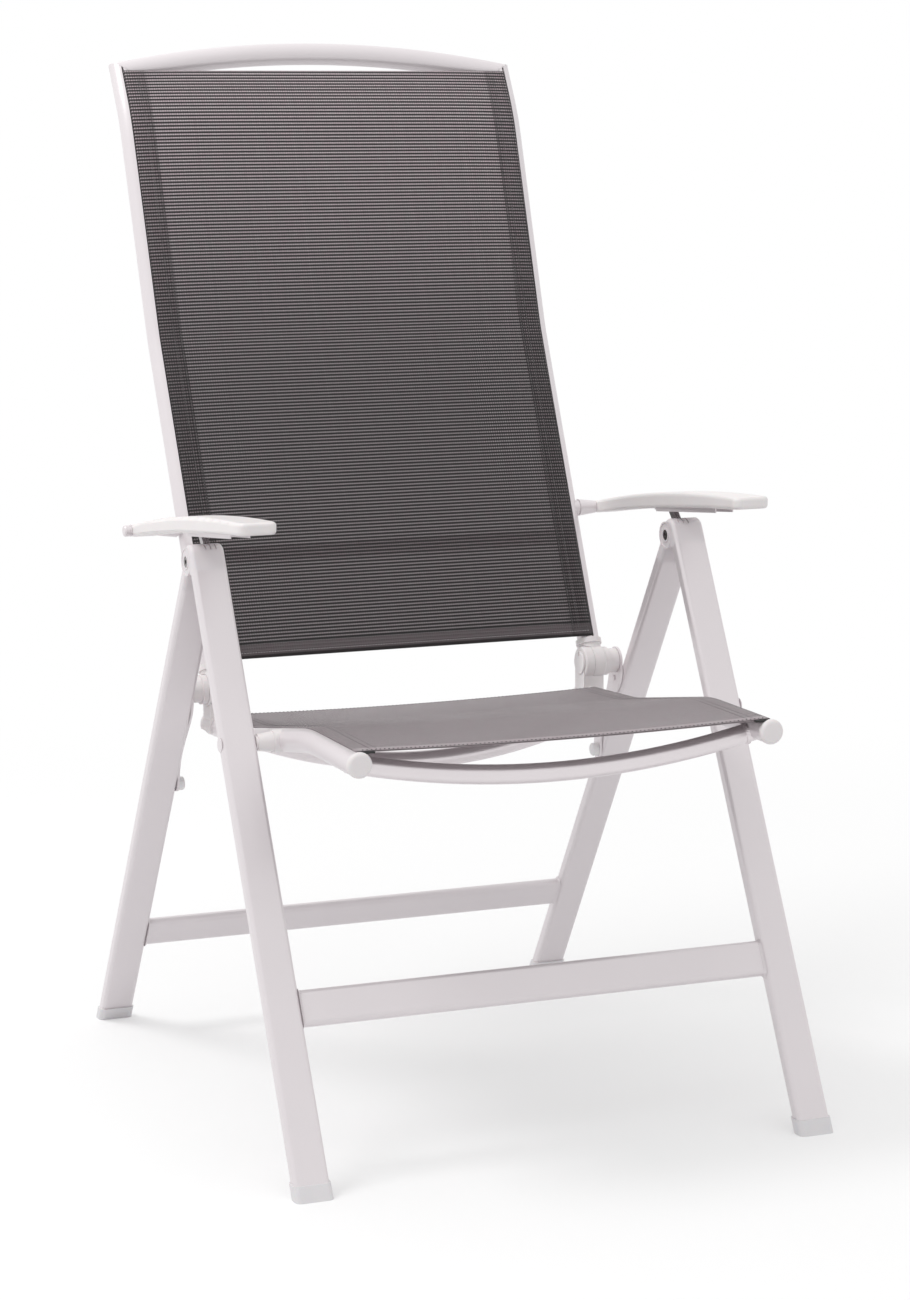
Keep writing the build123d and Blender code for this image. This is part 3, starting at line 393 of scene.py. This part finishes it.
def sling_point(places, lengths, x, along, lift):
    """A point of the cloth: x across the chair, along its length, lift off its own face."""
    along = min(max(along, 0.0), lengths[-1])
    i = next(k for k in range(1, len(lengths)) if along <= lengths[k] + 1e-9)
    share = (along - lengths[i - 1]) / (lengths[i] - lengths[i - 1])
    spot = places[i - 1][0].lerp(places[i][0], share)
    way = places[i - 1][1].lerp(places[i][1], share).normalized()
    face = Vector((-way.y, way.x))
    spot = spot + face * lift
    return Vector((x, spot.x + shift_y(), spot.y))


def sling_strip(columns, rows, point, uv):
    """A cloth grid: point and uv take shares from -1 to 1 across and 0 to 1 along."""
    mesh = bmesh.new()
    bmesh.ops.create_grid(mesh, x_segments=columns, y_segments=rows, size=1.0)
    layer = mesh.loops.layers.uv.new("cloth")
    for face in mesh.faces:
        for loop in face.loops:
            loop[layer].uv = uv(loop.vert.co.x, (loop.vert.co.y + 1) / 2)
    for vert in mesh.verts:
        vert.co = point(vert.co.x, (vert.co.y + 1) / 2)
    smooth(mesh)
    return mesh


def mesh_cloth(name, dark, light, rib, dot, open_share, length, fade, hem, crease, doubled_shade=None):
    """Ribbed sling mesh. rib and dot are the pitches of its yarns, along and across.

    Its colour carries painted light and shade. The cloth is darker by the share fade
    where it starts and lighter towards its end. Its first hem's width is pressed smooth between
    a fold and the hem's edge, both darkened as painted shade in the crease, as dark as
    crease says. Doubled_shade paints shade on the side bands that have a second layer
    behind them; its entries are the cloth's half width where it starts, its growth along the cloth, and the
    band's width.
    """
    material, shade, shader = new_finish(name, {"Specular IOR Level": 0.35, "Sheen Weight": 0.15,
                                                "Sheen Roughness": 0.5})
    place = shade.node("ShaderNodeUVMap", {"uv_map": "cloth"})
    across = shade.node("ShaderNodeSeparateXYZ", inputs={0: place}, output=0)
    along = shade.node("ShaderNodeSeparateXYZ", inputs={0: place}, output=1)
    yarn_tone = shade.node("ShaderNodeTexNoise", {"noise_dimensions": "1D"},
                           {"W": across, "Scale": 420.0, "Detail": 3.0}, "Fac")
    row_tone = shade.node("ShaderNodeTexNoise", {"noise_dimensions": "1D"},
                          {"W": along, "Scale": 210.0, "Detail": 2.0}, "Fac")
    patch = noise(shade, place, 34.0)
    rib_wave = (along * (2 * math.pi / rib)).maths("COSINE") * 0.5 + 0.5
    dot_wave = (across * (2 * math.pi / dot)).maths("COSINE") * 0.5 + 0.5
    rib_top = rib_wave.step(0.46, 0.80)
    bead = dot_wave.step(0.10, 0.75)
    raised = rib_top * (0.36 + bead * 0.64)
    raised = raised + (1 - rib_top) * bead * 0.06
    pressed = 1 - along.step(hem * 0.90, hem)
    # Painted shade in the creases: a dark line along the fold and another along the hem's edge
    fold_shade = 1 - along.step(hem * 0.15, hem * 0.28)
    ridge_shade = along.step(hem * 0.94, hem) * (1 - along.step(hem * 1.10, hem * 1.20))
    tone = raised * (0.62 + yarn_tone * 0.5 + row_tone * 0.26) * (1 - pressed) + pressed * 0.45
    # Painted light and shade: the colour darkens towards the cloth's start by fade and lightens towards its
    # end
    painted_light_rise = along.step(length * 0.4, length)
    tone = tone * (1 - (1 - painted_light_rise) * fade) * (1 - (fold_shade + ridge_shade) * crease)
    # Painted shade on the doubled side bands, where a second layer behind lets less light through, darkest
    # near the band's inner edge
    if doubled_shade is not None:
        half, growth, width = doubled_shade
        inset = along * growth + half - abs(across)
        doubled_shade_band = 1 - inset.step(width - 0.0010, width + 0.0004)
        tone = tone * (1 - doubled_shade_band * (0.24 + inset.step(width - 0.0065, width - 0.002) * 0.20))
    hole = rib_wave.step(0.45, 0.70) * (1 - dot_wave).step(0.72, 0.90) * (1 - pressed)
    dye = noise(shade, place, 90.0).step(0.35, 0.65)
    rosy = (light[0] * 1.03, light[1] * 0.95, light[2] * 0.98, 1)
    feed(shade, shader, {
        "Base Color": tone.mix(dark, dye.mix(light, rosy)),
        "Roughness": 0.62 - raised * 0.14 + patch * 0.06,
        "Alpha": 1 - hole * open_share,
        "Normal": bump(shade, raised, 0.0004),
    })
    return material


# The cloth's lift off the tubes' centre line, its thickness, and how far out of that
# line and how deep into the tube its edge goes; the rest are small steps between layers
tube_lift = 0.01315
cloth_thick = 0.0005
slit_out = 0.0011
slit_depth = 0.0032
tube_edge = 0.0055
turn_in = 0.0003
slit_gap = 0.0006
layer_gap = 0.0004
side_columns = 24

back_corners = [(0.473875, 0.455), (0.63775, 0.800), (0.72595, 1.045), (0.75475, 1.093)]
back_line = bent_line(back_corners, 0.250, 0.004)
back_lengths = run_lengths(back_line)
back_length = back_lengths[-1]
back_rib = 0.00392
back_dot = 0.00277
yarn_dark = (0.006, 0.005, 0.0053, 1)
# The back's cloth: painted shade darkens it towards its lower start and along its lower fold and hem edge
back_weave = {"rib": back_rib, "dot": back_dot, "length": back_length, "fade": 0.66, "hem": 0.0165,
              "crease": 0.8}
back_mesh_cloth = mesh_cloth("sling_mesh_back", yarn_dark, (0.635, 0.548, 0.572, 1), open_share=0.5,
                             doubled_shade=(0.2274, 0.0111, 0.0253), **back_weave)
back_x = 0.226
back_splay = 0.01199
cloth_starts = 0.025
cloth_ends = 0.663


def back_half_width(along):
    """From the middle of the chair to the slit of the back tube."""
    low, high = back_x + cloth_starts * back_splay, back_x + cloth_ends * back_splay
    return low + (high - low) * along / back_length + slit_out


def back_sling_point(share, along_share):
    along = along_share * back_length
    wide = back_half_width(along)
    column = round(abs(share) * side_columns)
    if column == side_columns:
        return sling_point(back_line, back_lengths, math.copysign(wide - turn_in, share), along,
                           tube_lift - slit_depth)
    x = (wide - slit_gap) * column / (side_columns - 1)
    return sling_point(back_line, back_lengths, math.copysign(x, share), along, tube_lift)


def cloth_x(wide, share):
    """How far from the middle a column of the cloth lies, measured over its edge."""
    column = round(abs(share) * side_columns)
    last = side_columns - 1
    return (wide - slit_gap) * min(column, last) / last + (slit_depth if column > last else 0)


def back_sling_uv(share, along_share):
    along = along_share * back_length
    x = cloth_x(back_half_width(along), share)
    droop = 0.0016 * abs(share) ** 5
    return (math.copysign(x, share), along + droop)


mesh = sling_strip(2 * side_columns, 140, back_sling_point, back_sling_uv)
back_sling = finish_piece("back_sling", mesh, back_mesh_cloth, "back", thick=cloth_thick)
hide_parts("back_fabric")

side_hem_low = 0.0262
side_hem_high = 0.0248
hem_gap = 0.0012
low_hem = 0.016


def back_hem_strip(sign):
    """The folded-back layer behind one side edge."""
    def inner(along):
        width = side_hem_low + (side_hem_high - side_hem_low) * along / back_length
        return back_half_width(along) - width

    def outer(along):
        return back_half_width(along) - tube_edge

    def point(share, along_share):
        along = along_share * back_length
        x = inner(along) + (outer(along) - inner(along)) * (share + 1) / 2
        return sling_point(back_line, back_lengths, sign * x, along, tube_lift - hem_gap)

    def uv(share, along_share):
        along = along_share * back_length
        x = inner(along) + (outer(along) - inner(along)) * (share + 1) / 2
        return (sign * x, along + back_rib / 2)

    return sling_strip(6, 140, point, uv)


def back_low_hem():
    """The folded-up layer behind the lower edge."""
    half = back_half_width(0) - side_hem_low - layer_gap

    def point(share, along_share):
        return sling_point(back_line, back_lengths, half * share, low_hem * along_share,
                           tube_lift - hem_gap)

    def uv(share, along_share):
        return (half * share + 0.0014, low_hem * along_share + back_rib / 2)

    return sling_strip(40, 4, point, uv)


def joined(meshes):
    """Several meshes as one."""
    whole = bmesh.new()
    for part in meshes:
        data = bpy.data.meshes.new("part")
        part.to_mesh(data)
        part.free()
        whole.from_mesh(data)
        bpy.data.meshes.remove(data)
    return whole


mesh = joined([back_hem_strip(1), back_hem_strip(-1), back_low_hem()])
bmesh.ops.recalc_face_normals(mesh, faces=mesh.faces)
# The folded-back layer is the same cloth painted much darker, as painted shade for the layer lying behind
# the front one
back_hem_shaded_cloth = mesh_cloth("sling_mesh_back_hem_painted_shade", yarn_dark, (0.17, 0.146, 0.153, 1), open_share=0.3,
                            **back_weave)
back_hems = finish_piece("back_sling_hems", mesh, back_hem_shaded_cloth, "back", thick=cloth_thick)


def thread(name, dark, light):
    """Twisted sewing thread."""
    material, shade, shader = new_finish(name, {"Sheen Weight": 0.3})
    place = shade.node("ShaderNodeTexCoord", output="Object")
    twist = shade.node("ShaderNodeTexWave", {"bands_direction": "DIAGONAL"},
                       {"Vector": place, "Scale": 900.0, "Distortion": 1.0}, "Fac")
    feed(shade, shader, {
        "Base Color": twist.mix(dark, light),
        "Roughness": 0.55 + twist * 0.2,
        "Normal": bump(shade, twist, 0.0001),
    })
    return material


def stitch_row(mesh, ends, pitch, length, thick):
    """Short stitches laid from one place to the next along a row of places."""
    for a, b in zip(ends, ends[1:]):
        count = max(1, round((b - a).length / pitch))
        way = (b - a).normalized()
        turn = way.to_track_quat("X", "Z").to_matrix().to_4x4()
        for i in range(count):
            middle = a.lerp(b, (i + 0.5) / count)
            size = Matrix.Diagonal((length / 2, thick / 2, thick / 2, 1))
            bmesh.ops.create_icosphere(mesh, subdivisions=1, radius=1.0,
                                       matrix=Matrix.Translation(middle) @ turn @ size)


hem_stitch_up = 0.0058
mesh = bmesh.new()
half = back_half_width(0) - 0.004
stitch_ends = [sling_point(back_line, back_lengths, half * i / 10, hem_stitch_up, tube_lift + 0.0006)
               for i in range(-10, 11)]
stitch_row(mesh, stitch_ends, 0.0032, 0.0025, 0.0011)
smooth(mesh)
light_thread = thread("light_thread", (0.26, 0.24, 0.25, 1), (0.52, 0.50, 0.51, 1))
back_stitches = finish_piece("back_sling_stitches", mesh, light_thread, "back")

# Two seams along each side hold the doubled edge; each is given by its inset from the slit
side_seams = (-0.0232, -0.0162, 0.0162, 0.0232)
seam_lift = 0.0003
mesh = bmesh.new()
for seam in side_seams:
    seam_ends = []
    for i in range(36):
        along = back_length * (0.012 + 0.976 * i / 35)
        x = math.copysign(back_half_width(along), seam) - seam
        seam_ends.append(sling_point(back_line, back_lengths, x, along, tube_lift + seam_lift))
    stitch_row(mesh, seam_ends, 0.0034, 0.0026, 0.0008)
smooth(mesh)
grey_thread = thread("grey_thread", (0.05, 0.046, 0.048, 1), (0.13, 0.12, 0.125, 1))
back_seams = finish_piece("back_sling_seams", mesh, grey_thread, "back")
2 * back_half_width(back_length) + 2 * slit_depth
(back_half_width(0) + back_half_width(back_length) + 2 * slit_depth) * back_length


# ---- Seat sling -------------------------------------------------------------
# The same cloth, painted paler than the back's in its yarns and its gaps alike, as painted
# sheen of the cloth seen at a grazing angle, stretched between the seat tubes. The front and rear
# edges are folded under and stitched with dark thread, and black blocks at the corners stand for the folds'
# ends, as painted shade of the openings there.
# Along the sides it has the back's seams, in a paler thread.

seat_corners = [(0.017, 0.428), (0.150, 0.428), (0.335, 0.396), (0.445, 0.389942)]
seat_line = bent_line(seat_corners, 0.230, 0.004)
seat_lengths = run_lengths(seat_line)
seat_length = seat_lengths[-1]
# Painted sheen: paler yarns and paler gaps than the back's cloth, for its grazing view
seat_sheen_painted_cloth = mesh_cloth("sling_mesh_seat_painted_sheen", (0.12, 0.105, 0.11, 1), (0.77, 0.69, 0.712, 1),
                             rib=0.0021, dot=0.00125, open_share=0.6, length=seat_length, fade=0.0,
                             hem=0.0145, crease=0.15)
seat_half = 0.223 + slit_out
seat_sag = 0.0035
seat_tube_half = 0.012


def seat_sling_place(x, along, lift):
    """A place on the seat cloth, which dips a little between its tubes."""
    dip = seat_sag * max(0.0, 1 - (x / (seat_half - seat_tube_half)) ** 2)
    return sling_point(seat_line, seat_lengths, x, along, lift - dip)


def seat_sling_point(share, along_share):
    along = along_share * seat_length
    column = round(abs(share) * side_columns)
    if column == side_columns:
        return seat_sling_place(math.copysign(seat_half - turn_in, share), along, tube_lift - slit_depth)
    x = (seat_half - slit_gap) * column / (side_columns - 1)
    return seat_sling_place(math.copysign(x, share), along, tube_lift)


def seat_sling_uv(share, along_share):
    return (math.copysign(cloth_x(seat_half, share), share), along_share * seat_length)


mesh = sling_strip(2 * side_columns, 100, seat_sling_point, seat_sling_uv)
seat_sling = finish_piece("seat_sling", mesh, seat_sheen_painted_cloth, "seat", thick=cloth_thick)
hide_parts("seat_fabric")

seat_side_hem = 0.034
seat_end_hem = 0.016


def seat_hem_strip(x0, x1, along0, along1, columns, rows):
    """The folded layer below one stretch of the seat cloth's edge."""
    def point(share, along_share):
        x = x0 + (x1 - x0) * (share + 1) / 2
        return seat_sling_place(x, along0 + (along1 - along0) * along_share, tube_lift - hem_gap)

    def uv(share, along_share):
        x = x0 + (x1 - x0) * (share + 1) / 2
        return (x + 0.0006, along0 + (along1 - along0) * along_share + 0.001)

    return sling_strip(columns, rows, point, uv)


inner = seat_half - seat_side_hem
outer = seat_half - tube_edge
end_hem_x = inner - layer_gap
mesh = joined([
    seat_hem_strip(inner, outer, 0, seat_length, 6, 100),
    seat_hem_strip(-outer, -inner, 0, seat_length, 6, 100),
    seat_hem_strip(-end_hem_x, end_hem_x, 0, seat_end_hem, 40, 4),
    seat_hem_strip(-end_hem_x, end_hem_x, seat_length - seat_end_hem, seat_length, 40, 4),
])
bmesh.ops.recalc_face_normals(mesh, faces=mesh.faces)
seat_hems = finish_piece("seat_sling_hems", mesh, seat_sheen_painted_cloth, "seat", thick=cloth_thick)

end_seam = 0.0026
end_seam_half = seat_half - 0.005
mesh = bmesh.new()
for along in (end_seam, seat_length - end_seam):
    ends = [seat_sling_place(end_seam_half * i / 12, along, tube_lift + layer_gap) for i in range(-12, 13)]
    stitch_row(mesh, ends, 0.0046, 0.0023, 0.0011)
smooth(mesh)
dark_thread = thread("dark_thread", (0.012, 0.011, 0.011, 1), (0.06, 0.055, 0.058, 1))
seat_stitches = finish_piece("seat_sling_stitches", mesh, dark_thread, "seat")

seam_starts = 0.006
seam_run = seat_length - 2 * seam_starts
mesh = bmesh.new()
for seam in side_seams:
    x = math.copysign(seat_half, seam) - seam
    ends = [seat_sling_place(x, seam_starts + seam_run * i / 24, tube_lift + seam_lift) for i in range(25)]
    stitch_row(mesh, ends, 0.0034, 0.0026, 0.0008)
smooth(mesh)
seat_thread = thread("seat_thread", (0.10, 0.09, 0.095, 1), (0.22, 0.20, 0.21, 1))
seat_seams = finish_piece("seat_sling_seams", mesh, seat_thread, "seat")

# Partly the folds' real ends, made black as painted shade of the openings beside them
fold_size = Matrix.Diagonal((0.018, 0.0075, 0.0022, 1))
fold_spot = Vector((0.2150, 0.0168 + shift_y(), 0.43955))
mesh = bmesh.new()
for side in (-1, 1):
    spot = Matrix.Translation(Vector((side, 1, 1)) * fold_spot)
    bmesh.ops.create_cube(mesh, size=1.0, matrix=spot @ fold_size)
bmesh.ops.bevel(mesh, geom=mesh.edges[:], affect="EDGES", offset=0.0009, segments=3, profile=0.5,
                material=-1)
smooth(mesh)
seat_fold_shade_blocks = finish_piece("seat_sling_fold_ends_painted_shade", mesh, cord_black, "seat")


# ---- Floor, light and camera ------------------------------------------------
# A white studio floor that runs out into a white surround, a broad soft lamp
# overhead at the chair's right side, and the photograph's point of view.

floor_r = 3.2
mesh = bmesh.new()
bmesh.ops.create_circle(mesh, cap_ends=True, segments=96, radius=floor_r)
data = bpy.data.meshes.new("studio_floor")
mesh.to_mesh(data)
mesh.free()
floor = bpy.data.objects.new("studio_floor", data)
bpy.context.scene.collection.objects.link(floor)
floor_white = bpy.data.materials.new("studio_floor_white")
floor_white.use_nodes = True
tree = floor_white.node_tree
tree.nodes.clear()
shade = Shade(tree)
seen = shade.node("ShaderNodeLightPath", output="Is Camera Ray")
mirrored = shade.node("ShaderNodeLightPath", output="Is Glossy Ray")
seen = seen.maths("MAXIMUM", mirrored)
place = shade.node("ShaderNodeTexCoord", output="Object")
far = shade.node("ShaderNodeVectorMath", {"operation": "LENGTH"}, {0: place}, "Value").step(0.9, 2.2)
paper = shade.node("ShaderNodeBsdfDiffuse", inputs={"Color": seen.mix((0.80, 0.80, 0.81, 1), (1, 1, 1, 1))})
glow = shade.node("ShaderNodeEmission", inputs={"Color": (1, 1, 1, 1), "Strength": 1.0})
surface = shade.node("ShaderNodeMixShader", inputs={0: seen * (far * 0.7 + 0.3), 1: paper, 2: glow})
shade.node("ShaderNodeOutputMaterial", inputs={"Surface": surface})
floor.data.materials.append(floor_white)

world = bpy.data.worlds.new("studio")
bpy.context.scene.world = world
world.use_nodes = True
tree = world.node_tree
tree.nodes.clear()
shade = Shade(tree)
seen = shade.node("ShaderNodeLightPath", output="Is Camera Ray")
mirrored = shade.node("ShaderNodeLightPath", output="Is Glossy Ray")
through = shade.node("ShaderNodeLightPath", output="Is Transmission Ray")
white = (seen + mirrored + through).maths("MINIMUM", 1.0)
way = shade.node("ShaderNodeTexCoord", output="Generated")
left = shade.node("ShaderNodeSeparateXYZ", inputs={0: way}, output=0)
up = shade.node("ShaderNodeSeparateXYZ", inputs={0: way}, output=2).maths("MAXIMUM", 0.0)
front = shade.node("ShaderNodeSeparateXYZ", inputs={0: way}, output=1) * -1
dome = 0.70 + up * 0.26 - left * 0.05 - front * 0.02
strength = white + (1 - white) * dome
surround = shade.node("ShaderNodeBackground", inputs={"Color": (1, 1, 1, 1), "Strength": strength})
shade.node("ShaderNodeOutputWorld", inputs={"Surface": surround})

lamp = bpy.data.lights.new("softbox", "AREA")
lamp.shape = "DISK"
lamp.size = 1.1
lamp.energy = 24.0
lamp_aim = Vector((0, 0, 0.4))
softbox = bpy.data.objects.new("softbox", lamp)
softbox.location = (-1.5, 0.3, 2.9)
softbox.rotation_euler = (lamp_aim - softbox.location).to_track_quat("-Z", "Y").to_euler()
bpy.context.scene.collection.objects.link(softbox)

lens = bpy.data.cameras.new("camera")
lens.lens = 89.923
lens.sensor_width = 36.0
lens.shift_y = -0.0279
camera = bpy.data.objects.new("camera", lens)
camera.location = (-1.283492, -3.269736, 1.051619)
aim = Euler((math.radians(81.22), 0, math.radians(-21.868))).to_matrix()
camera.rotation_euler = (aim @ Matrix.Rotation(-0.00305, 3, "Z")).to_euler()
bpy.context.scene.collection.objects.link(camera)
bpy.context.scene.camera = camera
bpy.context.scene.view_settings.view_transform = "Standard"
